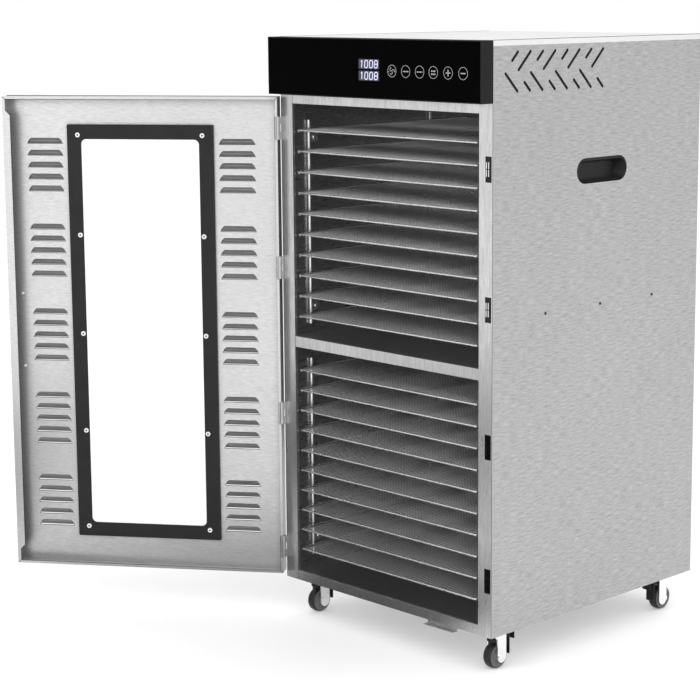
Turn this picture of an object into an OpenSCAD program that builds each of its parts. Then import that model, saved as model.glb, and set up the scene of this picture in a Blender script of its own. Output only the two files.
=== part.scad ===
// Two-zone cabinet food dehydrator: a sheet-steel cabinet on four swivel casters,
// twenty sliding mesh trays, a hinged louvred door with a window, and a fan and a
// ring heater behind the air wall of each zone.
// Origin: on the floor under the centre of the cabinet. The front faces -Y, +Z is up.
// Modules are drawn in cabinet space, where y = 0 is the front plane and z = 0 is the
// underside of the cabinet, and cab() moves them to their place above the floor.

/* [Cabinet] */
// Width over the side panels
body_w = 440; // [436:1:446]
// Depth from the front frame to the back cover
body_d = 474; // [472:1:480]
// Height of the cabinet without its casters
body_h = 854; // [854:1:858]
// Height of the underside above the floor
floor_gap = 60; // [60:0.5:61]
// Thickness of the outer sheet metal
sheet = 1.2; // [1:0.1:1.4]
// Height of the rim folded down around the top cover
top_rim = 8; // [7:0.5:9]

/* [Front frame] */
// Width of each upright of the frame
stile_w = 26.2; // [26:0.1:26.6]
// How deep the frame's folded edges run into the cabinet
fold = 5; // [4.5:0.5:6]
// Lower edge of the top rail
opening_top = 753; // [752:0.5:754]
// Upper face of the rail between the zones
mid_top = 392.2; // [391:0.2:393]
// Lower face of the rail between the zones
mid_bottom = 375.7; // [375:0.2:376.5]
// Upper face of the bottom rail
sill_top = 15; // [14:0.5:16]

/* [Control panel] */
// How far the control panel and the closed door stand out
face_depth = 24.6; // [24:0.1:25]
// Lower edge of the control panel
panel_bottom = 767.4; // [767:0.2:769]

/* [Door] */
// Lower edge of the door
door_bottom = 7.7; // [7:0.1:8.5]
// Upper edge of the door
door_top = 762; // [760:0.5:763]
// Angle between the closed door and the door as it is drawn
door_open = 143.4; // [90:0.1:165]
// Sideways place of the window and louvres, towards the free edge
pattern_x = 4; // [0:0.5:6]
// Width and height of the clear window
window_size = [190, 620]; // [180:1:200]
// Width and height of the window frame
window_frame_size = [236, 666]; // [230:1:240]

/* [Trays] */
// Distance from one tray to the next
tray_pitch = 32; // [31.8:0.1:32.1]
// Middle of the top tray of the upper zone
upper_tray_z = 712; // [711:0.5:713]
// Middle of the top tray of the lower zone
lower_tray_z = 339; // [338:0.5:340]
// Half of a tray's width
tray_half_w = 190; // [189:0.5:190.5]
// Depth of a tray, front to back
tray_d = 388; // [380:1:390]

/* [Casters] */
// Distance of a caster's swivel axis from the side of the cabinet
caster_inset_x = 30; // [28:1:34]
// Distance of a caster's swivel axis from the front or back
caster_inset_y = 52; // [50:1:56]
// Radius of a wheel
wheel_r = 19; // [18.5:0.1:19]
// Width of a wheel
wheel_w = 16; // [15:0.5:16.5]
// Distance from a swivel axis to its wheel's axle
trail = 11; // [10:0.5:12]

/* [Hidden] */
$fn = 48;
gap = 0.3;
run_fit = 0.05;
half_w = body_w / 2;
wall_x = half_w - sheet;
roof_z = body_h - top_rim;
clear_half = half_w - stile_w;
liner_x = 199.5;
liner_t = 1;
air_wall_y = 400;
trays_per_zone = 10;
zone_mid = [(mid_top + opening_top) / 2, (sill_top + mid_bottom) / 2];
tray_tops = [upper_tray_z, lower_tray_z];
tray_front_y = 2;
tray_rod = 4;
mesh_t = 0.4;
hinge_x = -half_w;
hinge_y = -6.4;
knuckle_r = 3.2;
pin_r = 1.4;
knuckle_h = 35;
door_mid = 382.5;
hinge_zs = [for (d = [-331.7, -115.5, 115.5, 331.7]) door_mid + d];
door_t = 1;
door_skin_y = -face_depth;
door_lip_y = -0.7;
lip = 4;
wide_lip = 12.5;
handle_x = 204;
handle_z = 388.5;
handle_pitch = 118;
axle_drop = floor_gap - wheel_r;
post_ys = [36, 305];
post_x = 196.4;
slot_zs = [84, 281, 478.5, 676];
rivet_z = 461.5;
rivet_ys = [113.2, 237.2, 361.2];
pocket_y = 238.2;
pocket_z = 661;
pocket_size = [115.4, 37.4];
fan_y = 412;
motor_y = 436;

TRAYS = [for (z = ["upper", "lower"], i = [1:trays_per_zone]) str("tray_", z, "_", i)];
CORNERS = ["fl", "fr", "rl", "rr"];

// ---- places and shared shapes ----

// Cabinet space, lifted off the floor and centred front to back
module cab() {
    translate([0, -body_d / 2, floor_gap]) children();
}

// The open door: its parts are drawn closed and turned about the hinge pins
module open_door() {
    cab()
    translate([hinge_x, hinge_y, 0])
    rotate([0, 0, -door_open])
    translate([-hinge_x, -hinge_y, 0])
    children();
}

// A block from its lowest to its highest corner
module block(a, b) {
    translate(a) cube(b - a);
}

// A flat rectangle with round corners, centred
module round_rect(size, r) {
    square([size[0] - 2 * r, size[1]], center = true);
    square([size[0], size[1] - 2 * r], center = true);
    for (x = [-1, 1], y = [-1, 1])
        translate([x * (size[0] / 2 - r), y * (size[1] / 2 - r)]) circle(r);
}

// A flat slot with round ends, from its first end towards angle a
module slot_2d(len, w, a) {
    rotate(a) {
        translate([0, -w / 2]) square([len, w]);
        circle(w / 2, $fn = 24);
        translate([len, 0]) circle(w / 2, $fn = 24);
    }
}

// Stands a flat (x, z) drawing up in the plane y, t thick towards +y
module upright(y, t) {
    translate([0, y + t, 0]) rotate([90, 0, 0]) linear_extrude(t) children();
}

// Stands a flat (y, z) drawing up on the side plane x, t thick towards +x
module side_plate(x, t) {
    translate([x, 0, 0]) rotate([90, 0, 90]) linear_extrude(t) children();
}

// ---- cabinet shell ----

// The two rows of slanted vent slots near the top of a side panel
module chevron_slots() {
    for (i = [0:7]) {
        short = i % 2 == 0;
        translate([50.3 + 26.65 * i, 836.8]) slot_2d(short ? 16.5 : 35, 4.4, 225);
        translate([49.6 + 26.7 * i, 782.6]) slot_2d(short ? 35 : 16.5, 4.4, 135);
    }
}

module side_sheet() {
    difference() {
        square([body_d, roof_z]);
        chevron_slots();
        translate([pocket_y, pocket_z]) round_rect(pocket_size, pocket_size[1] / 2 - 0.01);
        for (y = rivet_ys) translate([y, rivet_z]) circle(1.7, $fn = 24);
    }
}

module side_panel_left() {
    color("silver") cab() side_plate(-half_w, sheet) side_sheet();
}

module side_panel_right() {
    color("silver") cab() side_plate(wall_x, sheet) side_sheet();
}

module top_cover() {
    color("whitesmoke") cab() difference() {
        block([-half_w, 0, roof_z], [half_w, body_d, body_h]);
        block([-wall_x, sheet, roof_z - 1], [wall_x, body_d - sheet, body_h - sheet]);
    }
}

inlet_x = -150;
inlet_z = 62;
back_screw_zs = [12, 222, 432, 642, 834];

// Two groups of intake slots, the vents of the electronics bay and the mains inlet's hole
module back_sheet() {
    difference() {
        translate([-wall_x, 0]) square([2 * wall_x, roof_z]);
        for (z = zone_mid, i = [-4:4])
            translate([-55, z + i * 14]) slot_2d(110, 5, 0);
        for (i = [0:3], x = [-130, 20])
            translate([x, 786 + i * 13]) slot_2d(110, 5, 0);
        translate([inlet_x, inlet_z]) square([28.6, 24.6], center = true);
        for (x = [-1, 1], z = back_screw_zs)
            translate([x * (wall_x - 8), z]) circle(2, $fn = 24);
    }
}

module back_cover() {
    color("silver") cab() upright(body_d - sheet, sheet) back_sheet();
}

// Bottom sheet, with a folded pull tab under the front edge
module base_plate() {
    tab = [84, 143];
    color("darkgray") cab() {
        difference() {
            block([-wall_x, sheet, 0], [wall_x, body_d - sheet, sheet]);
            for (c = [0:3]) at_corner(c) plate_holes();
        }
        block([tab[0], 9, -9], [tab[1], 10.2, 0]);
        block([tab[0], 0, -9], [tab[1], 10.2, -8]);
    }
}

// Folded channel of an upright, drawn as an (x, y) section of the right-hand one
module stile_section() {
    x0 = clear_half;
    polygon([[x0, 0], [wall_x, 0], [wall_x, 22], [wall_x - sheet, 22],
             [wall_x - sheet, sheet], [x0 + sheet, sheet], [x0 + sheet, fold - sheet],
             [liner_x, fold - sheet], [liner_x, fold], [x0, fold]]);
}

// The right-hand upright; its folds stand on the base plate
module stile() {
    block([clear_half, 0, 0], [wall_x, sheet, roof_z]);
    translate([0, 0, sheet]) linear_extrude(roof_z - sheet) stile_section();
}

// Folded channel of a cross rail from z0 to z1, open at the back; its seam is wider on
// the hinge side
module rail(z0, z1, folds) {
    x0 = 0.7 - clear_half;
    x1 = clear_half - 0.15;
    block([x0, 0, z0], [x1, sheet, z1]);
    if (folds[0]) block([x0, 0, z0], [x1, fold, z0 + sheet]);
    if (folds[1]) block([x0, 0, z1 - sheet], [x1, fold, z1]);
}

// Five folded pieces with narrow seams between the uprights and the rails
module front_frame() {
    color("gainsboro") cab() {
        difference() {
            stile();
            for (z = slot_zs)
                block([half_w - 14.3, -1, z - 18.2], [half_w - 2.6, sheet + 1, z + 18.2]);
        }
        difference() {
            mirror([1, 0, 0]) stile();
            for (z = hinge_zs)
                block([hinge_x + 2.1, -1, z - 17.9], [hinge_x + 3.7, sheet + 1, z + 17.9]);
        }
        rail(opening_top, roof_z, [true, false]);
        rail(mid_bottom, mid_top, [true, true]);
        rail(0, sill_top, [false, true]);
    }
}

// ---- inside the chamber ----

// Side walls and ceiling of the chamber, and the perforated air wall of each zone
module chamber_liners() {
    color("dimgray") cab() {
        for (x = [-liner_x - liner_t, liner_x])
            block([x, fold, sheet], [x + liner_t, air_wall_y - gap, opening_top - gap]);
        block([-liner_x - liner_t, fold, opening_top],
              [liner_x + liner_t, air_wall_y - gap, opening_top + liner_t]);
        air_wall(mid_top, opening_top, zone_mid[0]);
        air_wall(sheet, mid_bottom, zone_mid[1]);
    }
}

// One air wall: round holes on a triangular grid in front of its fan, in a folded sheet
module air_wall(z0, z1, fan_z) {
    pitch = 15;
    difference() {
        block([-wall_x, air_wall_y, z0], [wall_x, air_wall_y + liner_t, z1]);
        for (i = [-6:6], j = [-7:7]) {
            x = pitch * (i + (j % 2 == 0 ? 0 : 0.5));
            z = pitch * 0.866 * j;
            if (x * x + z * z < 88 * 88)
                translate([x, air_wall_y - 1, fan_z + z])
                rotate([-90, 0, 0]) cylinder(r = 4.5, h = 3, $fn = 24);
        }
    }
}

// Hollow shelf between the zones, and the floor of the lower zone
module zone_shelves() {
    x1 = liner_x - 0.1;
    color("dimgray") cab() {
        difference() {
            block([-x1, fold, mid_bottom], [x1, air_wall_y - gap, mid_top]);
            block([-x1 - 1, fold - 1, mid_bottom + 1], [x1 + 1, air_wall_y - 2, mid_top - 1]);
        }
        difference() {
            block([-x1, fold, sheet], [x1, air_wall_y - gap, sill_top]);
            block([-x1 + 1, fold - 1, 0], [x1 - 1, air_wall_y - 2, sill_top - 1]);
        }
    }
}

// One side of one zone's rack: two posts held to the wall by screwed tabs, and a ledge
// under every tray
module rack_side(z_top) {
    z0 = z_top - (trays_per_zone - 1) * tray_pitch - 16;
    z1 = z_top + 14;
    for (y = post_ys) {
        translate([post_x, y, z0]) cylinder(r = 2.6, h = z1 - z0, $fn = 24);
        for (z = [z0 + 26, z1 - 27]) {
            block([liner_x - 1.4, y, z - 6], [liner_x, y + 20, z + 6]);
            translate([liner_x - 2.8, y + 13.5, z]) rotate([0, 90, 0])
            cylinder(r = 3, h = 2, $fn = 24);
        }
    }
    for (i = [0:trays_per_zone - 1]) {
        z = z_top - i * tray_pitch - tray_rod / 2 - gap;
        block([tray_half_w - 2.5, post_ys[0] + 21, z - 1.2],
              [liner_x, post_ys[1] - 3, z]);
        block([tray_half_w - 2.5, fold + 3, z - 1.2],
              [post_x - 2.8, air_wall_y - 4, z]);
    }
}

module tray_racks() {
    color("lightgray") cab()
    for (z_top = tray_tops) {
        rack_side(z_top);
        mirror([1, 0, 0]) rack_side(z_top);
    }
}

// One tray: a rod rim with its mesh as a thin plate, z is the middle of the rim
module tray(z) {
    w = 2 * tray_half_w;
    color("lightgray") cab()
    translate([0, tray_front_y + tray_d / 2, z]) {
        translate([0, 0, -tray_rod / 2]) linear_extrude(tray_rod) difference() {
            round_rect([w, tray_d], 7);
            round_rect([w - 2 * tray_rod, tray_d - 2 * tray_rod], 3);
        }
        translate([0, 0, -mesh_t / 2]) linear_extrude(mesh_t)
        square([w - 2 * tray_rod + 0.4, tray_d - 2 * tray_rod + 0.4], center = true);
    }
}

// ---- fans and heaters behind the air walls ----

// Impeller of one zone with its shaft, on the y axis of its fan
module impeller(fan_z) {
    color("gray") cab() translate([0, fan_y, fan_z]) rotate([-90, 0, 0]) {
        cylinder(r = 13, h = 17);
        cylinder(r = 3, h = motor_y - fan_y + 16, $fn = 32);
        for (a = [0:360 / 7:359]) rotate(a)
            translate([10, 0, 8.5]) rotate([32, 0, 0])
            block([0, -10, -0.8], [60, 10, 0.8]);
    }
}

module fan_motors() {
    color("silver") cab()
    for (z = zone_mid) translate([0, motor_y, z]) {
        difference() {
            rotate([-90, 0, 0]) cylinder(r = 31, h = 28);
            translate([0, -1, 0]) rotate([-90, 0, 0])
            cylinder(r = 3 + run_fit, h = 20, $fn = 32);
        }
        block([-62, 27.9, -14], [62, 30, 14]);
        for (x = [-62, 60])
            block([x, 27.9, -14], [x + 2, body_d - sheet - motor_y, 14]);
    }
}

// A ring element around each fan on three studs, with a thermostat beside it
module heaters() {
    ring_y = 424;
    color("dimgray") cab()
    for (z = zone_mid) translate([0, 0, z]) {
        translate([0, ring_y, 0]) rotate([90, 0, 0])
        rotate_extrude($fn = 96) translate([88, 0]) circle(4, $fn = 24);
        for (a = [90, 210, 330]) rotate([0, a, 0])
            translate([88, air_wall_y + liner_t, 0]) rotate([-90, 0, 0])
            cylinder(r = 2.5, h = ring_y - air_wall_y - liner_t, $fn = 24);
        block([106, air_wall_y + liner_t, -12], [122, air_wall_y + 13, 12]);
    }
}

// ---- controls and fittings ----

// Shell of the control panel, open at the back, with a rim around the glass
module control_housing() {
    x1 = half_w - 0.2;
    color("darkslategray") cab() difference() {
        block([-x1, -face_depth, panel_bottom], [x1, 0, body_h]);
        block([-x1 + 1.5, -face_depth - 1, panel_bottom + 1.5],
              [x1 - 1.5, -face_depth + 3, body_h - 1.5]);
        block([-x1 + 3, -face_depth, panel_bottom + 3], [x1 - 3, 1, body_h - 3]);
    }
}

module control_glass() {
    x1 = half_w - 1.9;
    color("black") cab()
    block([-x1, -face_depth, panel_bottom + 1.7], [x1, -face_depth + 3, body_h - 1.7]);
}

// Touch and display board behind the glass, and the relay board above the chamber
module control_boards() {
    z0 = 783;
    color("darkgreen") cab() {
        block([-60, -18, z0], [206, -16.4, z0 + 50]);
        block([-24, -21.4, z0 + 5], [24, -17.9, z0 + 44]);
        for (x = [-54, 200], z = [z0 + 5, z0 + 45])
            translate([x, -16.5, z]) rotate([-90, 0, 0])
            cylinder(r = 3, h = 16.5, $fn = 24);
        translate([-150, 90, opening_top + liner_t]) {
            for (x = [6, 134], y = [6, 94])
                translate([x, y, 0]) cylinder(r = 3, h = 12.1, $fn = 24);
            block([0, 0, 12], [140, 100, 13.6]);
            block([12, 20, 13.5], [52, 60, 42]);
            for (i = [0:3]) block([66, 14 + 19 * i, 13.5], [95, 28 + 19 * i, 30]);
        }
    }
}

// Magnetic catches behind the two upper slots of the right upright
module magnet_catches() {
    x1 = wall_x - sheet - 0.1;
    color("silver") cab()
    for (z = [slot_zs[2], slot_zs[3]]) {
        block([x1 - 13, sheet, z - 22], [x1, 14, z + 22]);
        for (x = [x1 - 10.8, x1 - 6.7], dz = [-5.4, 5.4])
            block([x, 0.4, z + dz - 4.7], [x + 1.3, sheet + 0.1, z + dz + 4.7]);
    }
}

// Scooped finger recess in each side panel
module pocket_handles() {
    depth = 16;
    color("black") cab() for (s = [0, 1]) mirror([s, 0, 0])
    translate([half_w - depth - 1.6, pocket_y, pocket_z]) rotate([90, 0, 90])
    difference() {
        union() {
            linear_extrude(depth + 1.6) round_rect(pocket_size - [0.3, 0.3], 18.5);
            translate([0, 0, depth + 0.4 - sheet]) linear_extrude(sheet)
            round_rect(pocket_size + [7, 7], 22);
        }
        translate([0, -2, 1.6]) linear_extrude(depth + 0.1, scale = [1.17, 1.38])
        round_rect([95, 24], 11.9, $fn = 32);
    }
}

// ---- hinges ----

// A sleeve on the hinge axis around the height z
module knuckle(z, h, bore) {
    translate([hinge_x, hinge_y, z - h / 2]) difference() {
        cylinder(r = knuckle_r, h = h);
        if (bore > 0) translate([0, 0, -1]) cylinder(r = bore, h = h + 2, $fn = 32);
    }
}

// Fixed half of each hinge: a leaf behind the upright, two sleeves and the pin
module hinge_brackets() {
    third = knuckle_h / 3;
    leaf = [hinge_x + 2.4, hinge_x + 3.4];
    color("silver") cab() for (z = hinge_zs) {
        for (s = [-1, 1]) {
            knuckle(z + s * third, third - gap, 0);
            block([leaf[0], hinge_y, z + s * third - third / 2 + gap / 2],
                  [leaf[1], 0, z + s * third + third / 2 - gap / 2]);
        }
        translate([hinge_x, hinge_y, z - knuckle_h / 2]) cylinder(r = pin_r, h = knuckle_h, $fn = 32);
        block([leaf[0], hinge_y + knuckle_r + 0.6, z - 17.3], [leaf[1], 18, z + 17.3]);
    }
}

// Moving half of each hinge: the middle sleeve and a leaf inside the door's edge
module hinge_leaves() {
    third = knuckle_h / 3;
    color("silver") open_door() for (z = hinge_zs) {
        knuckle(z, third - gap, pin_r + run_fit);
        block([hinge_x + door_t, -face_depth + door_t, z - 17],
              [hinge_x + door_t + 1, hinge_y - 4.2, z + 17]);
        block([hinge_x + door_t, hinge_y - 4.3, z - third / 2 + gap / 2],
              [hinge_x + door_t + 1, hinge_y - 2.1, z + third / 2 - gap / 2]);
    }
}

// ---- door ----

louvre_w = 59.6;
louvre_h = 9.3;
louvre_pitch = 18.85;
group_pitch = 136.3;
louvre_top_z = 692;
louvre_in = 125.4;
hood = 5.5;

// Puts its children at the lower middle of every louvre
module at_louvres() {
    for (s = [-1, 1], g = [0:4], i = [0:4])
        translate([pattern_x + s * (louvre_in + louvre_w / 2), 0,
                   louvre_top_z - g * group_pitch - i * louvre_pitch - louvre_h / 2])
        children();
}

// Folded tray of the door: skin, four edges and the lips turned inwards, with one
// punched hood over each louvre slot
module door_panel() {
    h = door_top - door_bottom;
    y0 = door_skin_y;
    color("gainsboro") open_door() difference() {
        union() {
            difference() {
                block([-half_w, y0, door_bottom], [half_w, door_lip_y, door_top]);
                block([-half_w + door_t, y0 + door_t, door_bottom + door_t],
                      [half_w - door_t, door_lip_y - door_t, door_top - door_t]);
                upright(door_lip_y - 2, 4) door_mouth();
            }
            at_louvres() louvre_hood();
        }
        at_louvres() louvre_cut();
        upright(y0 - 1, 3) translate([pattern_x, door_mid + 2])
            round_rect(window_size + [12, 12], 10);
        for (z = hinge_zs)
            block([-half_w - 1, hinge_y - 4, z - 18.2], [-half_w + 5, 1, z + 18.2]);
    }
}

// Opening between the lips; the lip of the free edge is wider except near its ends
module door_mouth() {
    x0 = -half_w + lip;
    x1 = half_w - lip - 1;
    x2 = half_w - wide_lip;
    z0 = door_bottom + lip;
    z1 = door_top - lip;
    c = x1 - x2;
    polygon([[x0, z0], [x1, z0], [x1, z0 + 19], [x2, z0 + 19 + c],
             [x2, z1 - 18 - c], [x1, z1 - 18], [x1, z1], [x0, z1]]);
}

// Outline (x, z) of one louvre, t inside its outer edge: straight below, cut corners above
module louvre_2d(t) {
    w = louvre_w / 2 - t;
    h = louvre_h - t;
    polygon([[-w, 0], [w, 0], [w - 2.6, 0.62 * h], [w - 6, h], [-w + 6, h], [-w + 2.6, 0.62 * h]]);
}

// Outward hood of one louvre: its lower edge stands off the skin and faces down
module louvre_hood() {
    intersection() {
        translate([-louvre_w / 2, 0, 0]) rotate([90, 0, 90]) linear_extrude(louvre_w)
        polygon([[door_skin_y + 0.1, louvre_h], [door_skin_y - hood + 1.5, louvre_h * 0.55],
                 [door_skin_y - hood, 0], [door_skin_y + 0.1, 0]]);
        upright(door_skin_y - hood - 1, hood + 2) louvre_2d(0);
    }
}

module louvre_cut() {
    t = 0.9;
    intersection() {
        translate([-louvre_w / 2, 0, 0]) rotate([90, 0, 90]) linear_extrude(louvre_w)
        polygon([[door_skin_y + door_t + 1, louvre_h - t], [door_skin_y + 0.1, louvre_h - t],
                 [door_skin_y - hood + 1.5 + t, louvre_h * 0.55 - t * 0.4],
                 [door_skin_y - hood + t, 0], [door_skin_y - hood + t, -0.5],
                 [door_skin_y - 0.01, -0.5], [door_skin_y - 0.01, 0],
                 [door_skin_y + door_t + 1, 0]]);
        upright(door_skin_y - hood - 1, hood + 4) {
            louvre_2d(t);
            translate([-louvre_w / 2 + t, -1]) square([louvre_w - 2 * t, 1]);
        }
    }
}

window_mid = [pattern_x, door_mid + 2];
glass_t = 2.2;
frame_over = 1;

module door_glass() {
    color("lightcyan", 0.4) open_door()
    upright(door_skin_y + door_t, glass_t) translate(window_mid)
    round_rect(window_size + [24, 24], 6);
}

// Frame over the edge of the glass, with a skirt down to the door's skin
module window_frame() {
    color("black") open_door() difference() {
        upright(door_skin_y + door_t, glass_t + frame_over) translate(window_mid)
        round_rect(window_frame_size, 2);
        upright(door_skin_y + door_t - 1, glass_t + 4) translate(window_mid)
        round_rect(window_size, 8);
        upright(door_skin_y + door_t - 1, glass_t + 1) translate(window_mid)
        round_rect(window_size + [24.6, 24.6], 6.3);
    }
}

frame_screw_r = 3.7;
handle_screw_r = 2.2;

// Ten pan heads around the window frame and the two smaller ones behind the handle
module door_screws() {
    y0 = door_skin_y + door_t + glass_t + frame_over;
    color("white") open_door() {
        for (x = [-100.5, 100.5], i = [-2:2])
            translate([pattern_x + x, y0, window_mid[1] + i * 158.3]) pan_head(frame_screw_r);
        for (s = [-1, 1])
            translate([handle_x, door_skin_y + door_t, handle_z + s * handle_pitch / 2])
            pan_head(handle_screw_r);
    }
}

// Pan head of radius r with a cross recess, standing on y = 0 towards +y
module pan_head(r) {
    slot = 0.54 * r;
    rotate([-90, 0, 0]) difference() {
        union() {
            cylinder(r = r, h = 1.1, $fn = 32);
            cylinder(r = 0.81 * r, h = 1.8, $fn = 32);
        }
        for (a = [0, 90]) rotate(a)
            block([-slot, -0.135 * r, 1], [slot, 0.135 * r, 3]);
    }
}

// Bow handle on the outside of the door, on two feet
module door_handle() {
    reach = 32;
    y0 = door_skin_y;
    color("silver") open_door() {
        for (s = [-1, 1])
            translate([handle_x, y0 - reach, handle_z + s * handle_pitch / 2])
            rotate([-90, 0, 0]) cylinder(r = 4.5, h = reach);
        translate([handle_x, y0 - reach, handle_z - handle_pitch / 2 - 14])
        cylinder(r = 6, h = handle_pitch + 28);
    }
}

// ---- power and screws ----

// Mains inlet: a socket body through the back cover with a flange and three blades
module power_inlet() {
    y1 = body_d;
    color("black") cab() translate([inlet_x, 0, inlet_z]) {
        difference() {
            union() {
                block([-14, y1 - 20, -12], [14, y1, 12]);
                block([-25, y1, -15], [25, y1 + 2, 15]);
            }
            block([-12.2, y1 - 17, -8.2], [12.2, y1 + 3, 8.2]);
            for (x = [-20, 20]) translate([x, y1 - 1, 0]) rotate([-90, 0, 0])
                cylinder(r = 1.75, h = 4, $fn = 24);
        }
        for (p = [[-7, -3], [7, -3], [0, 3]])
            block([p[0] - 1, y1 - 17.1, p[1] - 2], [p[0] + 1, y1 - 5, p[1] + 2]);
    }
}

// Rivets of the side panels and screws of the back cover
module cabinet_screws() {
    color("black") cab() {
        for (y = rivet_ys, s = [-1, 1])
            translate([s * half_w, y, rivet_z]) rotate([0, -s * 90, 0]) {
                translate([0, 0, -0.5]) cylinder(r = 2.2, h = 0.5, $fn = 24);
                cylinder(r = 1.7, h = 4, $fn = 24);
            }
        for (x = [-1, 1], z = back_screw_zs)
            translate([x * (wall_x - 8), body_d, z]) rotate([90, 0, 0]) {
                translate([0, 0, -1.8]) cylinder(r = 3.6, h = 1.8, $fn = 24);
                cylinder(r = 2, h = 5, $fn = 24);
            }
    }
}

// ---- casters ----

// Puts its children at the swivel axis of corner c, turned so that +y points away
// from the middle of the cabinet
module at_corner(c) {
    x = c % 2 == 0 ? -1 : 1;
    front = c < 2;
    translate([x * (half_w - caster_inset_x),
               front ? caster_inset_y : body_d - caster_inset_y, 0])
    rotate([0, 0, front ? 180 : 0]) children();
}

plate_pitch = 32;

module plate_holes() {
    for (x = [-1, 1], y = [-1, 1])
        translate([x * plate_pitch / 2, y * plate_pitch / 2, -3])
        cylinder(r = 2.6, h = 6, $fn = 24);
}

king_r = 4;

// Mounting plates with their races and kingpins, and the bolts through the base
module caster_plates() {
    color("silver") cab() for (c = [0:3]) at_corner(c) {
        translate([0, 0, -2]) linear_extrude(2) round_rect([46, 46], 4);
        translate([0, 0, -5]) cylinder(r = 13, h = 3.1);
        translate([0, 0, -10.6]) cylinder(r = king_r - run_fit, h = 6, $fn = 32);
        translate([0, 0, -10.6]) cylinder(r = 7, h = 2);
        for (x = [-1, 1], y = [-1, 1])
            translate([x * plate_pitch / 2, y * plate_pitch / 2, 0]) {
                translate([0, 0, -3.4]) cylinder(r = 4, h = 1.5, $fn = 24);
                translate([0, 0, -2]) cylinder(r = 2.5, h = 6.4, $fn = 24);
                translate([0, 0, sheet]) cylinder(r = 4.2, h = 3, $fn = 6);
            }
    }
}

pedal_at = [1.5, -14.5];
leg_in = wheel_w / 2 + 0.8;
leg_t = 1.8;

// Outline (y, z) of one fork leg, with a round end about the axle
module leg_2d() {
    polygon([[-2, -5.3], [23, -5.3], [23, -9], [16.3, -16], [16.3, -42], [-2, -42]]);
    translate([7.15, -42]) circle(9.15);
}

// Fork of the caster at corner c, with its axle and the pin of its brake pedal
module caster_fork(c) {
    x1 = leg_in + leg_t;
    color("gainsboro") cab() at_corner(c) {
        difference() {
            union() {
                translate([0, 0, -8.3]) cylinder(r = 13, h = 3);
                block([-x1, -2, -8.3], [x1, 23, -5.3]);
            }
            translate([0, 0, -9]) cylinder(r = king_r, h = 5, $fn = 32);
        }
        for (x = [-x1, leg_in]) side_plate(x, leg_t) leg_2d();
        translate([-x1 - 1.6, trail, -axle_drop]) rotate([0, 90, 0]) {
            cylinder(r = 3, h = 2 * x1 + 3.2, $fn = 32);
            cylinder(r = 5, h = 1.7, $fn = 32);
            translate([0, 0, 2 * x1 + 1.5]) cylinder(r = 5, h = 1.7, $fn = 32);
        }
        translate([-x1, pedal_at[0], pedal_at[1]]) rotate([0, 90, 0])
        cylinder(r = 1.5, h = 2 * x1, $fn = 32);
    }
}

// Tyre and hub of one wheel: half of its section is turned about the axle
module caster_wheel(c) {
    w = wheel_w / 2;
    color("dimgray") cab() at_corner(c)
    translate([0, trail, -axle_drop]) rotate([0, 90, 0])
    rotate_extrude($fn = 96)
    polygon([[3 + run_fit, -w], [7, -w], [8, -w + 1.5], [13, -w + 1.5], [14, -w],
             [wheel_r - 2, -w], [wheel_r, -w + 2.5], [wheel_r, w - 2.5],
             [wheel_r - 2, w], [14, w], [13, w - 1.5], [8, w - 1.5], [7, w],
             [3 + run_fit, w]]);
}

// Outline (y, z) of a brake pedal: a cap over the wheel with a lip, the shoe beside the
// tread, and the toe hook
module pedal_2d() {
    polygon([[-23.5, -9.6], [-11, -9.6], [-11, -13.3], [19, -13.3], [20.5, -14.8],
             [20.5, -19], [17, -19], [15.5, -16.5], [-5, -15.7], [-11, -15.7],
             [-11, -41], [-12, -43], [-13, -40.5], [-13, -11], [-22, -11],
             [-22, -22], [-23.5, -22]]);
}

module brake_pedal(c) {
    x1 = leg_in - 0.4;
    x2 = x1 - 1;
    color("black") cab() at_corner(c) difference() {
        union() {
            translate([-x1, pedal_at[0], pedal_at[1]]) rotate([0, 90, 0])
            cylinder(r = 3, h = 2 * x1, $fn = 32);
            side_plate(-x2, 2 * x2) pedal_2d();
        }
        translate([-x1 - 1, pedal_at[0], pedal_at[1]]) rotate([0, 90, 0])
        cylinder(r = 1.5 + run_fit, h = 2 * x1 + 2, $fn = 32);
    }
}

// ---- what is drawn ----

side_panel_left();
side_panel_right();
top_cover();
back_cover();
base_plate();
front_frame();
chamber_liners();
zone_shelves();
tray_racks();
control_housing();
control_glass();
control_boards();
magnet_catches();
pocket_handles();
hinge_brackets();
power_inlet();
fan_motors();
heaters();
caster_plates();
cabinet_screws();
door_panel();
door_glass();
window_frame();
door_screws();
door_handle();
hinge_leaves();
impeller(zone_mid[0]);  // fan_upper
impeller(zone_mid[1]);  // fan_lower
for (c = [0:3]) {
    caster_fork(c);
    caster_wheel(c);
    brake_pedal(c);
}
for (k = [0:2 * trays_per_zone - 1])
    tray(tray_tops[floor(k / trays_per_zone)] - (k % trays_per_zone) * tray_pitch);
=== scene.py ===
import math

import bmesh
import bpy
from mathutils import Matrix, Vector


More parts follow.
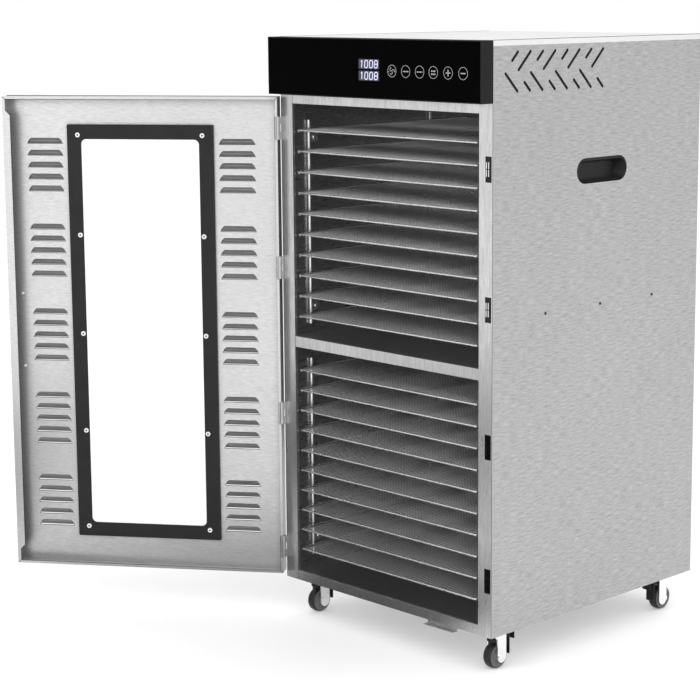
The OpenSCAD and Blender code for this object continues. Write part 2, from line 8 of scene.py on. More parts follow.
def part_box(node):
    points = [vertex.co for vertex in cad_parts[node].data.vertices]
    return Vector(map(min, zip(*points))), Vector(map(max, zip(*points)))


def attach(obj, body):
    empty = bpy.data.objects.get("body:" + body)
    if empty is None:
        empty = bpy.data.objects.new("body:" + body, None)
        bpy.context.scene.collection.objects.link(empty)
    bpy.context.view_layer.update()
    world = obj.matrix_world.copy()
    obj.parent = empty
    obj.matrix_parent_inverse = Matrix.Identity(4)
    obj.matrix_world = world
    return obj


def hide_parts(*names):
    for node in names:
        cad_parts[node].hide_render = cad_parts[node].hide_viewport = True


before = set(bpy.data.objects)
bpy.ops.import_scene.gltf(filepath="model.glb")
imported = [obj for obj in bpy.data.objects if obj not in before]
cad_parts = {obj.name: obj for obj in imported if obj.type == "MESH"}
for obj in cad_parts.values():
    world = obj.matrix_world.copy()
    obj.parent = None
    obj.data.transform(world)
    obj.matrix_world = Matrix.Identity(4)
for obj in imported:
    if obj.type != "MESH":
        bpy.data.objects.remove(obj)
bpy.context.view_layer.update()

MM = 0.001

# The cabinet's own space, in mm: y = 0 is its front plane and z = 0 its underside
BODY_D = 474
BODY_H = 854
FLOOR_GAP = 60
FRONT_Y = -24.6  # the face of the control glass and the skin of the closed door
HINGE = (-220, -6.4)
DOOR_OPEN = 143.4
CORNERS = ("fl", "fr", "rl", "rr")


def cab(x, y, z):
    """A point of the cabinet's space, in mm, as a point of the frame, in metres."""
    return Vector((x, y - BODY_D / 2, z + FLOOR_GAP)) * MM


def door(x, y, z):
    """A point of the closed door, in mm, as a point of the frame with the door open."""
    a = math.radians(-DOOR_OPEN)
    dx, dy = x - HINGE[0], y - HINGE[1]
    return cab(HINGE[0] + dx * math.cos(a) - dy * math.sin(a),
               HINGE[1] + dx * math.sin(a) + dy * math.cos(a), z)


# ---------------------------------------------------------------- materials


class Nodes:
    """A material's node tree, with short names for what is built most often."""

    def __init__(self, name):
        self.mat = bpy.data.materials.new(name)
        self.mat.use_nodes = True
        self.tree = self.mat.node_tree
        self.tree.nodes.clear()
        self.out = self.add("ShaderNodeOutputMaterial")
        self.shader = self.add("ShaderNodeBsdfPrincipled")
        self.link(self.shader, "BSDF", self.out, "Surface")

    def add(self, kind, **settings):
        node = self.tree.nodes.new(kind)
        for key, value in settings.items():
            if hasattr(node, key):
                setattr(node, key, value)
            else:
                node.inputs[key].default_value = value
        return node

    def link(self, a, a_out, b, b_in):
        self.tree.links.new(a.outputs[a_out], b.inputs[b_in])

    def set(self, **values):
        for key, value in values.items():
            self.shader.inputs[key.replace("_", " ")].default_value = value

    def coords(self, scale=(1, 1, 1), turn=0.0):
        """Object coordinates, turned about Z and then scaled."""
        node = self.add("ShaderNodeTexCoord")
        output = "Object"
        for settings in ({"Rotation": (0, 0, turn)}, {"Scale": scale}):
            mapping = self.add("ShaderNodeMapping", **settings)
            self.link(node, output, mapping, "Vector")
            node, output = mapping, "Vector"
        return node

    def noise(self, coords, scale, detail=3.0, rough=0.55):
        node = self.add("ShaderNodeTexNoise", Scale=scale, Detail=detail, Roughness=rough)
        self.link(coords, "Vector", node, "Vector")
        return node

    def spread(self, source, output, low, high, from_min=0.3, from_max=0.7):
        """Maps a texture's usual range to low..high."""
        node = self.add("ShaderNodeMapRange")
        for key, value in (("From Min", from_min), ("From Max", from_max),
                           ("To Min", low), ("To Max", high)):
            node.inputs[key].default_value = value
        self.link(source, output, node, "Value")
        return node

    def tint(self, source, output, colour, low, high):
        """A colour that varies between two brightnesses with a texture."""
        factor = self.spread(source, output, 0.0, 1.0)
        mix = self.add("ShaderNodeMix", data_type="RGBA")
        mix.inputs[6].default_value = [c * low for c in colour] + [1]
        mix.inputs[7].default_value = [c * high for c in colour] + [1]
        self.link(factor, "Result", mix, 0)
        return mix

    def scaled(self, source, output, factor, factor_output):
        """A colour multiplied by a factor."""
        node = self.add("ShaderNodeVectorMath", operation="SCALE")
        self.link(source, output, node, 0)
        self.link(factor, factor_output, node, "Scale")
        return node

    def bump(self, source, output, strength, distance):
        node = self.add("ShaderNodeBump", Strength=strength, Distance=distance)
        self.link(source, output, node, "Height")
        self.link(node, "Normal", self.shader, "Normal")
        return node


def brushed(name, colour, rough, grain, turn=0.0, contrast=0.13, bump=0.25, painted_corner_shade=0.0):
    """Sheet metal brushed along the axis on which grain is smallest (1/m), with painted
    shade in its inner corners: ambient occlusion darkens its colour there."""
    n = Nodes(name)
    n.set(Metallic=1.0)
    streak = n.noise(n.coords(grain, turn), 1.0, 3.0, 0.6)
    fine = n.noise(n.coords([g * 3.7 for g in grain], turn), 1.0, 2.0, 0.6)
    soft = n.noise(n.coords(turn=turn), 6.0, 2.0)
    mixed = n.add("ShaderNodeMath", operation="MULTIPLY_ADD")
    mixed.inputs[1].default_value = 0.65
    half = n.spread(fine, "Fac", 0.09, 0.26)
    n.link(streak, "Fac", mixed, 0)
    n.link(half, "Result", mixed, 2)
    tone = n.tint(mixed, "Value", colour, 1 - contrast, 1 + contrast)
    cloud = n.spread(soft, "Fac", 0.98, 1.02)
    even = n.scaled(tone, 2, cloud, "Result")
    if painted_corner_shade:
        # Painted shade: ambient occlusion within 18 mm darkens the base colour in inner corners
        corner = n.add("ShaderNodeAmbientOcclusion", samples=4, Distance=0.018)
        shade = n.spread(corner, "AO", 1 - painted_corner_shade, 1.0, 0.5, 0.97)
        even = n.scaled(even, "Vector", shade, "Result")
    n.link(even, "Vector", n.shader, "Base Color")
    r = n.spread(streak, "Fac", rough + 0.06, rough - 0.06)
    n.link(r, "Result", n.shader, "Roughness")
    n.bump(mixed, "Value", bump, 0.0001)
    return n.mat


def metal(name, colour, rough, scale=900.0, contrast=0.08, bump=0.12):
    """Plain or plated metal with faint handling marks."""
    n = Nodes(name)
    n.set(Metallic=1.0)
    speck = n.noise(n.coords(), scale, 3.0)
    cloud = n.noise(n.coords(), scale / 12, 4.0, 0.6)
    tone = n.tint(cloud, "Fac", colour, 1 - contrast, 1 + contrast)
    n.link(tone, 2, n.shader, "Base Color")
    r = n.spread(cloud, "Fac", max(rough - 0.06, 0.03), rough + 0.08)
    n.link(r, "Result", n.shader, "Roughness")
    n.bump(speck, "Fac", bump, 0.0001)
    return n.mat


def plastic(name, colour, rough, scale=1500.0, bump=0.25, contrast=0.15, shine=0.5):
    """Moulded plastic, rubber or paint with a fine spark texture."""
    n = Nodes(name)
    n.set(Metallic=0.0, Specular_IOR_Level=shine)
    fine = n.noise(n.coords(), scale, 2.0)
    cloud = n.noise(n.coords(), 40.0, 4.0, 0.6)
    tone = n.tint(cloud, "Fac", colour, 1 - contrast, 1 + contrast)
    n.link(tone, 2, n.shader, "Base Color")
    r = n.spread(cloud, "Fac", max(rough - 0.06, 0.02), rough + 0.06)
    n.link(r, "Result", n.shader, "Roughness")
    n.bump(fine, "Fac", bump, 0.0001)
    return n.mat


def glass(name):
    """Clear sheet glass: a mirror film by Fresnel over a nearly clear body."""
    n = Nodes(name)
    n.tree.nodes.remove(n.shader)
    clear = n.add("ShaderNodeBsdfTransparent")
    clear.inputs["Color"].default_value = (0.965, 0.975, 0.97, 1)
    gloss = n.add("ShaderNodeBsdfGlossy")
    smear = n.noise(n.coords(), 9.0, 4.0, 0.6)
    r = n.spread(smear, "Fac", 0.02, 0.07)
    n.link(r, "Result", gloss, "Roughness")
    edge = n.add("ShaderNodeFresnel", IOR=1.3)
    mix = n.add("ShaderNodeMixShader")
    n.link(edge, "Fac", mix, 0)
    n.link(clear, "BSDF", mix, 1)
    n.link(gloss, "BSDF", mix, 2)
    n.link(mix, "Shader", n.out, "Surface")
    return n.mat


def glow(name, colour, strength):
    """A lit sign with a slightly uneven glow."""
    n = Nodes(name)
    n.set(Base_Color=(*colour, 1), Roughness=0.4, Emission_Color=(*colour, 1))
    flicker = n.noise(n.coords(), 1800.0, 2.0)
    s = n.spread(flicker, "Fac", strength * 0.9, strength * 1.1)
    n.link(s, "Result", n.shader, "Emission Strength")
    return n.mat


ALONG_Y = (500, 55, 500)
ALONG_X = (42, 420, 420)
ALONG_Z = (420, 420, 42)
FINE_X = (90, 600, 600)
DOOR_TURN = math.radians(DOOR_OPEN)

MAT = {
    "side": brushed("brushed_side", (0.43, 0.43, 0.43), 0.42, ALONG_Y, contrast=0.27),
    "top": brushed("brushed_top", (0.80, 0.80, 0.80), 0.38, ALONG_Y, contrast=0.06),
    "back": brushed("brushed_back", (0.50, 0.50, 0.50), 0.42, ALONG_X),
    "frame": brushed("brushed_frame", (0.57, 0.57, 0.57), 0.33, ALONG_Z, contrast=0.2),
    # The door's colour carries painted shade: ambient occlusion darkens it beside its lips,
    # louvres and window frame
    "door": brushed("brushed_door", (0.585, 0.585, 0.585), 0.40, FINE_X, DOOR_TURN,
                    contrast=0.15, painted_corner_shade=0.36),
    "handle": brushed("brushed_handle", (0.62, 0.62, 0.62), 0.30, ALONG_Z),
    "liner": brushed("chamber_steel", (0.40, 0.40, 0.40), 0.30, ALONG_Y, contrast=0.06,
                     bump=0.02),
    "shelf": brushed("shelf_steel", (0.34, 0.34, 0.34), 0.34, ALONG_X, contrast=0.06, bump=0.05),
    # Painted shade: a darker copy of the door's steel for inside the louvre hoods
    "shade": brushed("louvre_painted_shade", (0.30, 0.30, 0.30), 0.45, ALONG_X, DOOR_TURN),
    # Dark steel for seams and cut edges, and for painted shade at slots, rims and screw recesses
    "edge": metal("dark_edge_and_shade", (0.07, 0.07, 0.07), 0.5),
    "base": metal("base_steel", (0.50, 0.50, 0.50), 0.40),
    "rod": metal("tray_rod", (0.66, 0.66, 0.66), 0.25),
    "wire": metal("tray_wire", (0.42, 0.42, 0.42), 0.40, contrast=0.05),
    # A darker copy of the tray wire's steel: painted shade for the cross wires and the rims'
    # side rods
    "cross": metal("tray_wire_painted_shade", (0.13, 0.13, 0.13), 0.40, contrast=0.05),
    "rack": metal("rack_wire", (0.85, 0.85, 0.85), 0.2),
    "hinge": metal("hinge_steel", (0.48, 0.48, 0.48), 0.35, 500.0, 0.06),
    "zinc": metal("zinc_plate", (0.90, 0.90, 0.91), 0.30, 500.0, 0.05),
    "bright": metal("bright_steel_and_highlight", (0.86, 0.86, 0.87), 0.22, 500.0, 0.06),
    "alloy": metal("fan_alloy", (0.55, 0.55, 0.55), 0.4),
    "sheath": metal("heater_sheath", (0.18, 0.16, 0.15), 0.45, 600.0, 0.25),
    "dark": plastic("dark_frame_paint", (0.018, 0.018, 0.019), 0.45, 1200.0, 0.15, shine=0.15),
    "white_paint": plastic("screw_paint", (0.80, 0.80, 0.79), 0.35, 900.0, 0.1, 0.05),
    "black_metal": metal("blackened_steel", (0.05, 0.05, 0.05), 0.4),
    "housing": plastic("panel_shell", (0.010, 0.010, 0.010), 0.45, shine=0.12),
    "panel": plastic("panel_gloss", (0.0012, 0.0012, 0.0013), 0.06, 300.0, 0.01, 0.1, 0.008),
    "moulded": plastic("black_moulding", (0.009, 0.009, 0.009), 0.42, shine=0.2),
    "board": plastic("board_mask", (0.02, 0.12, 0.05), 0.4, 700.0),
    "tread": plastic("wheel_tread", (0.010, 0.010, 0.010), 0.45, 900.0, 0.3, shine=0.35),
    "wheel": plastic("wheel_side", (0.105, 0.105, 0.107), 0.55, 800.0, 0.3),
    "pedal": plastic("pedal_black", (0.006, 0.006, 0.006), 0.4, shine=0.25),
    "glass": glass("window_glass"),
}

NODE_MAT = {
    "side_panel_left": "side", "side_panel_right": "side", "top_cover": "top",
    "back_cover": "back", "base_plate": "base", "front_frame": "frame",
    "chamber_liners": "liner", "zone_shelves": "shelf", "tray_racks": "rack",
    "control_housing": "housing", "control_glass": "panel", "control_boards": "board",
    "magnet_catches": "moulded", "pocket_handles": "moulded", "hinge_brackets": "hinge",
    "power_inlet": "moulded", "fan_motors": "alloy", "heaters": "sheath",
    "caster_plates": "zinc", "cabinet_screws": "black_metal", "door_panel": "door",
    "door_glass": "glass", "window_frame": "dark", "door_screws": "white_paint",
    "door_handle": "handle", "hinge_leaves": "hinge", "fan_upper": "alloy",
    "fan_lower": "alloy",
}
for corner in CORNERS:
    NODE_MAT["caster_fork_" + corner] = "zinc"
    NODE_MAT["caster_wheel_" + corner] = "wheel"
    NODE_MAT["brake_pedal_" + corner] = "pedal"
for name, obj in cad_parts.items():
    obj.data.materials.clear()
    obj.data.materials.append(MAT[NODE_MAT.get(name, "rod")])

# ---------------------------------------------------------------- mesh helpers


def piece(name, bm, mat, body, smooth=False):
    """Makes an object of a bmesh in frame coordinates, riding on a body; mat is one
    key of MAT or a list that the faces' material_index picks from."""
    bmesh.ops.recalc_face_normals(bm, faces=bm.faces[:])
    mesh = bpy.data.meshes.new(name)
    bm.to_mesh(mesh)
    bm.free()
    for key in [mat] if isinstance(mat, str) else mat:
        mesh.materials.append(MAT[key])
    if smooth:
        for face in mesh.polygons:
            face.use_smooth = True
    obj = bpy.data.objects.new(name, mesh)
    bpy.context.collection.objects.link(obj)
    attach(obj, body)
    return obj


def tube(bm, points, radius, sides, closed=False):
    """Sweeps a polygon along points; every ring stands across the path."""
    pts = [Vector(p) for p in points]
    count = len(pts)
    rings = []
    for i, p in enumerate(pts):
        before = pts[i - 1] if closed or i else p
        after = pts[(i + 1) % count] if closed or i < count - 1 else p
        along = (after - before).normalized()
        side = along.cross(Vector((0, 0, 1)))
        if side.length < 0.1:
            side = along.cross(Vector((0, 1, 0)))
        side.normalize()
        up = side.cross(along)
        rings.append([bm.verts.new(p + (side * math.cos(t) + up * math.sin(t)) * radius)
                      for t in (2 * math.pi * (k + 0.5) / sides for k in range(sides))])
    spans = count if closed else count - 1
    for i in range(spans):
        a, b = rings[i], rings[(i + 1) % count]
        for k in range(sides):
            m = (k + 1) % sides
            bm.faces.new((a[k], a[m], b[m], b[k]))
    if not closed:
        bm.faces.new(rings[0][::-1])
        bm.faces.new(rings[-1])


def box(bm, low, high):
    """A box between two corners given in mm in the cabinet's space."""
    at = [[bm.verts.new(cab(x, y, z)) for x, y in
           ((low[0], low[1]), (high[0], low[1]), (high[0], high[1]), (low[0], high[1]))]
          for z in (low[2], high[2])]
    bm.faces.new(at[0][::-1])
    bm.faces.new(at[1])
    for k in range(4):
        m = (k + 1) % 4
        bm.faces.new((at[0][k], at[0][m], at[1][m], at[1][k]))


def round_rect_path(half_x, half_y, radius, steps):
    """Corner points of a rounded rectangle, anticlockwise."""
    path = []
    for cx, cy, start in ((1, 1, 0), (-1, 1, 90), (-1, -1, 180), (1, -1, 270)):
        for k in range(steps + 1):
            t = math.radians(start + 90 * k / steps)
            path.append((cx * (half_x - radius) + radius * math.cos(t),
                         cy * (half_y - radius) + radius * math.sin(t)))
    return path


# ---------------------------------------------------------------- trays

TRAY_HALF_W = 190
TRAY_D = 388
TRAY_FRONT = 2
ROD_R = 1.6
WIRE_R = 0.32
CROSS_R = 0.3
WIRE_PITCH = 6  # of the wires both ways
LIFT = 0.9  # of a wire's radius, to lay the two directions one over the other
INTO_ROD = 1  # how far a wire runs into the rim's rods


def make_tray(name):
    """The rod rim of a tray, in place of its CAD node, and its mesh of crossing wires."""
    low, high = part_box(name)
    z = (low[2] + high[2]) / 2 / MM - FLOOR_GAP
    mid_y = TRAY_FRONT + TRAY_D / 2
    bm = bmesh.new()
    rim = [cab(x, mid_y + y, z) for x, y in
           round_rect_path(TRAY_HALF_W - ROD_R, TRAY_D / 2 - ROD_R, 5, 5)]
    tube(bm, rim, ROD_R * MM, 12, closed=True)
    # Painted shade: the rim's side rods take the dark cross-wire colour, as if in shadow
    for face in bm.faces:
        shaded_side_rod = abs(face.calc_center_median().x) > (TRAY_HALF_W - 2 * ROD_R - 0.5) * MM
        face.material_index = int(shaded_side_rod)
    obj = piece("rim_" + name, bm, ["rod", "cross"], name + "_body", smooth=True)
    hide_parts(name)
    bm = bmesh.new()
    in_x, in_y = (half - 2 * ROD_R + INTO_ROD for half in (TRAY_HALF_W, TRAY_D / 2))
    count = int(in_x * 2 / WIRE_PITCH)
    for i in range(count):
        x = (i - (count - 1) / 2) * WIRE_PITCH
        tube(bm, [cab(x, mid_y + side * in_y, z + WIRE_R * LIFT) for side in (-1, 1)],
             WIRE_R * MM, 6)
    along = len(bm.faces)
    count = int(in_y * 2 / WIRE_PITCH)
    for i in range(count):
        y = mid_y + (i - (count - 1) / 2) * WIRE_PITCH
        tube(bm, [cab(side * in_x, y, z - CROSS_R * LIFT) for side in (-1, 1)],
             CROSS_R * MM, 6)
    # Painted shade: the wires across the tray take the darker copy of the wire steel
    bm.faces.ensure_lookup_table()
    for face in bm.faces[along:]:
        face.material_index = 1
    piece("mesh_" + name, bm, ["wire", "cross"], name + "_body", smooth=True)


for zone in ("upper", "lower"):
    for number in range(1, 11):
        make_tray(f"tray_{zone}_{number}")

# ---------------------------------------------------------------- display

MAT["digit"] = glow("display_digit", (0.50, 0.51, 0.70), 0.62)
MAT["icon"] = glow("touch_icon", (0.30, 0.30, 0.30), 0.30)
MAT["screen"] = glow("display_screen", (0.020, 0.020, 0.034), 0.9)
STROKE = 1.3  # of a numeral
DIGIT_X, DIGIT_PITCH, DIGIT_SIZE = -18.8, 10, (6.2, 10.4)


def flat_strip(bm, a, b, width, front_y=FRONT_Y - 0.25, depth=0.2):
    """A thin bar on the panel's face between two (x, z) points."""
    ax, az = a
    bx, bz = b
    length = math.hypot(bx - ax, bz - az)
    nx, nz = -(bz - az) / length * width / 2, (bx - ax) / length * width / 2
    corners = ((ax + nx, az + nz), (bx + nx, bz + nz), (bx - nx, bz - nz), (ax - nx, az - nz))
    front = [bm.verts.new(cab(x, front_y, z)) for x, z in corners]
    back = [bm.verts.new(cab(x, front_y + depth, z)) for x, z in corners]
    bm.faces.new(front)
    bm.faces.new(back[::-1])
    for k in range(4):
        m = (k + 1) % 4
        bm.faces.new((front[k], back[k], back[m], front[m]))


def arc(bm, centre, radius, width, start=0.0, end=360.0, steps=28):
    """A thin arc on the panel's face, in degrees from start to end."""
    turns = [math.radians(start + (end - start) * k / steps) for k in range(steps + 1)]
    pts = [(centre[0] + radius * math.cos(t), centre[1] + radius * math.sin(t)) for t in turns]
    for a, b in zip(pts, pts[1:]):
        flat_strip(bm, a, b, width)


def digit(bm, char, x, z, w, h):
    """A numeral drawn in strokes, leaning a little to the right."""
    lean = 0.08
    chamfer = 1.5
    mid = z + h / 2
    if char == "1":
        path = [(x + w / 2 - 0.9, z + h - 2), (x + w / 2 + 1, z + h), (x + w / 2 + 1, z)]
    else:
        path = [(x + chamfer, z), (x, z + chamfer), (x, z + h - chamfer), (x + chamfer, z + h),
                (x + w - chamfer, z + h), (x + w, z + h - chamfer), (x + w, z + chamfer),
                (x + w - chamfer, z), (x + chamfer, z)]
        if char == "8":
            shift = (mid - z) * lean
            flat_strip(bm, (x + shift, mid), (x + w + shift, mid), STROKE)
    path = [(px + (pz - z) * lean, pz) for px, pz in path]
    for a, b in zip(path, path[1:]):
        flat_strip(bm, a, b, STROKE)


ROWS = (812.2, 795.4)
bm = bmesh.new()
for row_z in ROWS:
    for k, char in enumerate("1008"):
        digit(bm, char, DIGIT_X + k * DIGIT_PITCH, row_z, *DIGIT_SIZE)
piece("display_digits", bm, "digit", "cabinet")
bm = bmesh.new()
for row_z in ROWS:
    flat_strip(bm, (-21, row_z + 5.2), (20.8, row_z + 5.2), 14, FRONT_Y - 0.04, 0.03)
piece("display_screens", bm, "screen", "cabinet")

ICON_X = (47.3, 74.9, 102.5, 129.2, 157.7, 186.3)
ICON_Z = 808.5
bm = bmesh.new()
for x in ICON_X:
    arc(bm, (x, ICON_Z), 8.5, 0.6)


def dashes(bm, x, z, widths, stroke):
    """A row of short bars, centred on x."""
    gap = 0.9
    left = x - (sum(widths) + gap * (len(widths) - 1)) / 2
    for w in widths:
        flat_strip(bm, (left, z), (left + w, z), stroke)
        left += w + gap


# An impeller, three pairs of bars, a plus and a minus
BLADE_TURN = 2.094  # radians between the impeller's blades
x = ICON_X[0]
for k in range(3):
    t = k * BLADE_TURN
    arc(bm, (x + 2.8 * math.cos(t), ICON_Z + 2.8 * math.sin(t)), 2.3, 0.8,
        k * 120 - 40, k * 120 + 170, 10)
flat_strip(bm, (x - 8.3, ICON_Z - 1), (x - 5.4, ICON_Z - 1), 0.7)
flat_strip(bm, (x + 5.4, ICON_Z - 1), (x + 8.3, ICON_Z - 1), 0.7)
dashes(bm, ICON_X[1], ICON_Z, (1.4, 2.6, 2.0, 2.4), 1.5)
dashes(bm, ICON_X[2], ICON_Z, (2.4, 1.6, 2.8, 1.4), 1.5)
dashes(bm, ICON_X[3], ICON_Z + 1.8, (2.4, 1.4, 2.2), 1.9)
dashes(bm, ICON_X[3], ICON_Z - 2.4, (1.8, 3.0, 1.6), 1.9)
x = ICON_X[4]
flat_strip(bm, (x - 4.4, ICON_Z), (x + 4.4, ICON_Z), 1.3)
flat_strip(bm, (x, ICON_Z - 4.6), (x, ICON_Z + 4.6), 1.6)
flat_strip(bm, (ICON_X[5] - 4.6, ICON_Z), (ICON_X[5] + 4.6, ICON_Z), 1.4)
piece("touch_icons", bm, "icon", "cabinet")

# ---------------------------------------------------------------- cabinet details

# Pole pieces of the two magnet catches
CATCH_ZS = (478.5, 676)
bm = bmesh.new()
for z in CATCH_ZS:
    for x in (206.65, 210.75):
        for dz in (-5.4, 5.4):
            box(bm, (x, 0.3, z + dz - 4.75), (x + 1.4, 1.25, z + dz + 4.75))
piece("catch_poles", bm, "bright", "cabinet")

# Seams of the cabinet's sheets, and a painted highlight along the folded edge of the sill
bm = bmesh.new()
for side in (-1, 1):
    tube(bm, [cab(side * 219.9, y, BODY_H - 0.1) for y in (0.5, BODY_D - 0.5)], 0.4 * MM, 6)
    tube(bm, [cab(side * 219.4, 0.1, 0.5), cab(side * 219.4, 0.1, 766)], 0.3 * MM, 6)
piece("sheet_seams", bm, "edge", "cabinet")

bm = bmesh.new()
# Painted highlight: a bright steel line along the sill's top edge
tube(bm, [cab(-192.8, 0.1, 14.8), cab(193.4, 0.1, 14.8)], 0.45 * MM, 6)
piece("sill_highlight", bm, "bright", "cabinet")

# Painted shade: dark sheets behind the vents of the side panels and of the back cover
bm = bmesh.new()
for side in (-1, 1):
    box(bm, *sorted(((side * 217.6, 14, 764), (side * 218.2, 300, 844))))
box(bm, (-150, BODY_D - 3, 778), (150, BODY_D - 2, 842))
ZONE_MIDS = (572.6, 195.35)
for z in ZONE_MIDS:
    box(bm, (-59, BODY_D - 3, z - 64), (59, BODY_D - 2, z + 64))
piece("vent_painted_shade", bm, "pedal", "cabinet")


# ---------------------------------------------------------------- door details

DOOR_T = 1.0
PATTERN_X = 4
LOUVRE_W = 59.6
LOUVRE_H = 9.3
LOUVRE_X = 125.4 + LOUVRE_W / 2
LOUVRE_TOP_Z = 692
LOUVRE_PITCH = 18.85
GROUP_PITCH = 136.3
HOOD = 5.5
WALL = 0.9


def louvre_places():
    """The (x, z) of the lower middle of every louvre."""
    for side in (-1, 1):
        for group in range(5):
            for i in range(5):
                yield (PATTERN_X + side * LOUVRE_X,
                       LOUVRE_TOP_Z - group * GROUP_PITCH - i * LOUVRE_PITCH - LOUVRE_H / 2)


def louvre_outline(inset):
    """Half of a louvre's outline as (distance from its middle, height)."""
    w, h = LOUVRE_W / 2 - inset, LOUVRE_H - inset
    return ((w, 0), (w - 2.6, 0.62 * h), (w - 6, h))


# Painted shade inside every hood: a darker sheet a little off its inner face
bm = bmesh.new()
for x, z in louvre_places():
    half = louvre_outline(WALL + 0.08)
    levels = ((0.05, FRONT_Y - HOOD + WALL),
              (0.55 * LOUVRE_H - 0.4 * WALL, FRONT_Y - HOOD + 1.5 + WALL),
              (half[2][1], FRONT_Y + 0.1))
    rows = []
    for level, y in levels:
        (w0, h0), (w1, h1) = (half[0], half[1]) if level < half[1][1] else (half[1], half[2])
        w = w0 + (w1 - w0) * (level - h0) / (h1 - h0)
        rows.append([bm.verts.new(door(x + s * w, y + 0.07, z + level)) for s in (-1, 1)])
    for a, b in zip(rows, rows[1:]):
        bm.faces.new((a[0], a[1], b[1], b[0]))
piece("louvre_hood_shade", bm, "shade", "door")

# Sheared edges of the louvre slots, dark partly as cut edges and partly as painted shade, with a
# thicker line of painted shade along each open slit
bm = bmesh.new()
for x, z in louvre_places():
    half = louvre_outline(WALL)
    path = [(-w, h) for w, h in half] + [(w, h) for w, h in reversed(half)]
    tube(bm, [door(x + w, FRONT_Y + DOOR_T - 0.25, z + h) for w, h in path], 0.4 * MM, 6)
    tube(bm, [door(x + w, FRONT_Y + DOOR_T - 0.1, z - 0.1) for w in (-half[0][0], half[0][0])],
         0.5 * MM, 6)
piece("louvre_edges_and_shade", bm, "edge", "door")

# The sheared rims of the folded door, dark partly as cut edges and partly as painted shade
# at the lips' folds: along the skin's top, round the lips and their mitres, and under the bottom
# lip
bm = bmesh.new()
tube(bm, [door(-219.4, FRONT_Y + 0.5, 762.2), door(219.4, FRONT_Y + 0.5, 762.2)], 0.8 * MM, 8)
tube(bm, [door(-219.5, -1.1, 7.8), door(219.5, -1.1, 7.8)], 0.45 * MM, 6)
MOUTH = ((-216, 11.7), (215, 11.7), (215, 30.7), (207.5, 38.2), (207.5, 732.5), (215, 740),
         (215, 758), (-216, 758))
tube(bm, [door(x, -1.2, z) for x, z in MOUTH], 0.6 * MM, 6, closed=True)
for (x0, z0), (x1, z1) in (((-216, 11.7), (-219.6, 8.1)), ((215, 11.7), (219.6, 8.1)),
                           ((215, 758), (219.6, 761.6)), ((-216, 758), (-219.6, 761.6))):
    tube(bm, [door(x0, -0.7, z0), door(x1, -0.7, z1)], 0.35 * MM, 6)
piece("door_rims_and_shade", bm, "edge", "door")

# Painted shade of the recess in every screw of the window frame: a dark disc on its head
SCREW_FACE = FRONT_Y + DOOR_T + 2.2 + 1 + 1.8
RECESS_R = 1.45
WINDOW_MID_Z = 384.5
SCREW_PITCH = 158.3
bm = bmesh.new()
for x in (-100.5, 100.5):
    for i in range(-2, 3):
        z = WINDOW_MID_Z + i * SCREW_PITCH
        disc = [bm.verts.new(door(PATTERN_X + x + RECESS_R * math.cos(t), SCREW_FACE + 0.04,
                                  z + RECESS_R * math.sin(t)))
                for t in (2 * math.pi * k / 20 for k in range(20))]
        bm.faces.new(disc)
piece("screw_recess_shade", bm, "edge", "door")

# ---------------------------------------------------------------- wheels

# Half of a wheel's section as (radius, distance from its middle plane)
WHEEL = ((3.1, 8), (6.6, 8), (7.2, 6.2), (12.4, 6.0), (13.2, 7.4), (16.6, 7.9), (17.2, 7.6),
         (18.6, 5.6), (19, 3.4))
TREAD_FROM = 16.9
STEPS = 72


def make_wheel(corner):
    """A lathed wheel with a dark tread, in place of its CAD node."""
    name = "caster_wheel_" + corner
    low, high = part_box(name)
    mid = (Vector(low) + Vector(high)) / 2
    section = [(r, -d) for r, d in WHEEL] + [(r, d) for r, d in reversed(WHEEL)]
    bm = bmesh.new()
    rings = []
    for k in range(STEPS):
        t = 2 * math.pi * k / STEPS
        rings.append([bm.verts.new(mid + Vector((d, r * math.cos(t), r * math.sin(t))) * MM)
                      for r, d in section])
    count = len(section)
    for k in range(STEPS):
        a, b = rings[k], rings[(k + 1) % STEPS]
        for i in range(count):
            m = (i + 1) % count
            face = bm.faces.new((a[i], a[m], b[m], b[i]))
            face.material_index = int(min(section[i][0], section[m][0]) < TREAD_FROM)
            face.smooth = True
    obj = piece(name + "_tyre", bm, ["tread", "wheel"], "wheel_" + corner)
    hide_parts(name)


for corner in CORNERS:
    make_wheel(corner)

# ---------------------------------------------------------------- stage

floor_mat = Nodes("pale_floor")
floor_mat.set(Roughness=0.9)
soft = floor_mat.noise(floor_mat.coords(), 3.0, 3.0)
tone = floor_mat.tint(soft, "Fac", (0.97, 0.97, 0.97), 0.995, 1.005)
floor_mat.link(tone, 2, floor_mat.shader, "Base Color")
mesh = bpy.data.meshes.new("floor")
FLOOR = 14  # half of the floor's side, in metres
mesh.from_pydata([(-FLOOR, -FLOOR, 0), (FLOOR, -FLOOR, 0), (FLOOR, FLOOR, 0),
                  (-FLOOR, FLOOR, 0)], [], [(0, 1, 2, 3)])
mesh.materials.append(floor_mat.mat)
floor = bpy.data.objects.new("floor", mesh)
bpy.context.collection.objects.link(floor)

world = bpy.data.worlds.new("studio")
bpy.context.scene.world = world
world.use_nodes = True
sky = world.node_tree.nodes["Background"]
sky.inputs["Color"].default_value = (1, 1, 1, 1)
sky.inputs["Strength"].default_value = 1.0


def area_light(name, place, target, size, power):
    """A soft box at a place, turned towards a target."""
    data = bpy.data.lights.new(name, "AREA")
    data.shape = "RECTANGLE"
    data.size, data.size_y = size
    data.energy = power
    lamp = bpy.data.objects.new(name, data)
    lamp.location = place
    lamp.rotation_euler = (Vector(target) - Vector(place)).to_track_quat("-Z", "Y").to_euler()
    bpy.context.collection.objects.link(lamp)


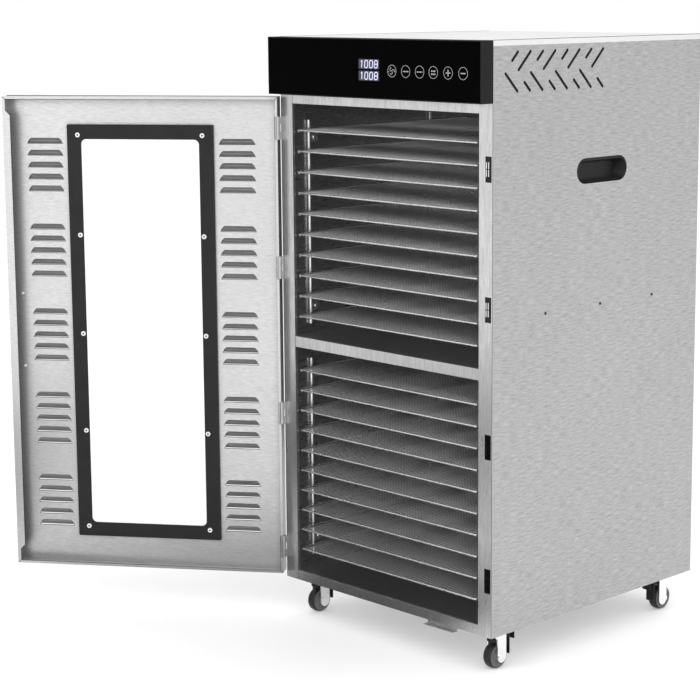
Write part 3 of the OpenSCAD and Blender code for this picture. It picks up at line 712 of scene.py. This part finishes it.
def fill_light(name, toward, power):
    """A distant lamp without shadows, for an even tone inside the chamber."""
    data = bpy.data.lights.new(name, "SUN")
    data.energy = power
    data.angle = math.radians(20)
    data.use_shadow = False
    lamp = bpy.data.objects.new(name, data)
    lamp.rotation_euler = (-Vector(toward)).to_track_quat("-Z", "Y").to_euler()
    bpy.context.collection.objects.link(lamp)


area_light("key", (2.6, -2.2, 2.6), (0, 0, 0.5), (2.2, 2.2), 26)
area_light("front", (-0.35, -3.6, 0.9), (0, 0, 0.45), (1.8, 1.4), 6)
fill_light("fill_back", (0.2, 0.69, 0.7), 0.7)
fill_light("fill_front", (0.1, -0.8, 0.6), 0.35)

# Dark cards that the camera doesn't see, mirrored by the lower ends of the front pieces
# and by the door's hinge edge
UPRIGHT = ((-0.85, 0, 0.005), (0.85, 0, 0.005), (0.85, 0, 0.34), (-0.85, 0, 0.34))
SHORT = ((-0.60, 0, 0.005), (0.35, 0, 0.005), (0.35, 0, 0.23), (-0.60, 0, 0.23))
FLAT = ((-0.55, -0.62, 0.003), (0.05, -0.62, 0.003), (0.05, -0.27, 0.003),
        (-0.30, -0.27, 0.003))
for name, corners, place, turn, size in (
        ("card_front", SHORT, (-0.57, -0.86, 0), -45, (1, 1, 1)),
        ("card_back", UPRIGHT, (-0.78, 0.82, 0), 27.9, (0.8, 1, 2.9)),
        ("card_floor", FLAT, (0, 0, 0), 0, (1, 1, 1))):
    mesh = bpy.data.meshes.new(name)
    mesh.from_pydata(corners, [], [(0, 1, 2, 3)])
    mesh.materials.append(MAT["moulded"])
    card = bpy.data.objects.new(name, mesh)
    card.location = place
    card.rotation_euler = (0, 0, math.radians(turn))
    card.scale = size
    card.visible_camera = card.visible_diffuse = card.visible_shadow = False
    bpy.context.collection.objects.link(card)

# ---------------------------------------------------------------- camera

FOCAL = 1942.81  # in the same unit as FRAME, a side of the square view
FRAME = 700
PRINCIPAL = (380.0, 307.0)
YAW, PITCH, ROLL = math.radians(-45.5616), math.radians(9.1988), math.radians(-0.3319)
BODY_W = 440
EYE = (4.602 * BODY_W, -4.5235 * BODY_W, 2.0895 * BODY_W)
cam_data = bpy.data.cameras.new("camera")
cam_data.sensor_width = 36
cam_data.lens = FOCAL / FRAME * 36
cam_data.shift_x = (FRAME / 2 - PRINCIPAL[0]) / FRAME
cam_data.shift_y = (PRINCIPAL[1] - FRAME / 2) / FRAME
cam_data.clip_start, cam_data.clip_end = 0.05, 60
camera = bpy.data.objects.new("camera", cam_data)
forward = Vector((math.sin(YAW) * math.cos(PITCH), math.cos(YAW) * math.cos(PITCH),
                  -math.sin(PITCH)))
right = Vector((math.cos(YAW), -math.sin(YAW), 0))
up = right.cross(forward)
right, up = (right * math.cos(ROLL) + up * math.sin(ROLL),
             up * math.cos(ROLL) - right * math.sin(ROLL))
camera.matrix_world = Matrix((
    (right.x, up.x, -forward.x, 0), (right.y, up.y, -forward.y, 0),
    (right.z, up.z, -forward.z, 0), (0, 0, 0, 1)))
camera.location = cab(*EYE)
bpy.context.collection.objects.link(camera)
bpy.context.scene.camera = camera
bpy.context.scene.view_settings.view_transform = "Standard"
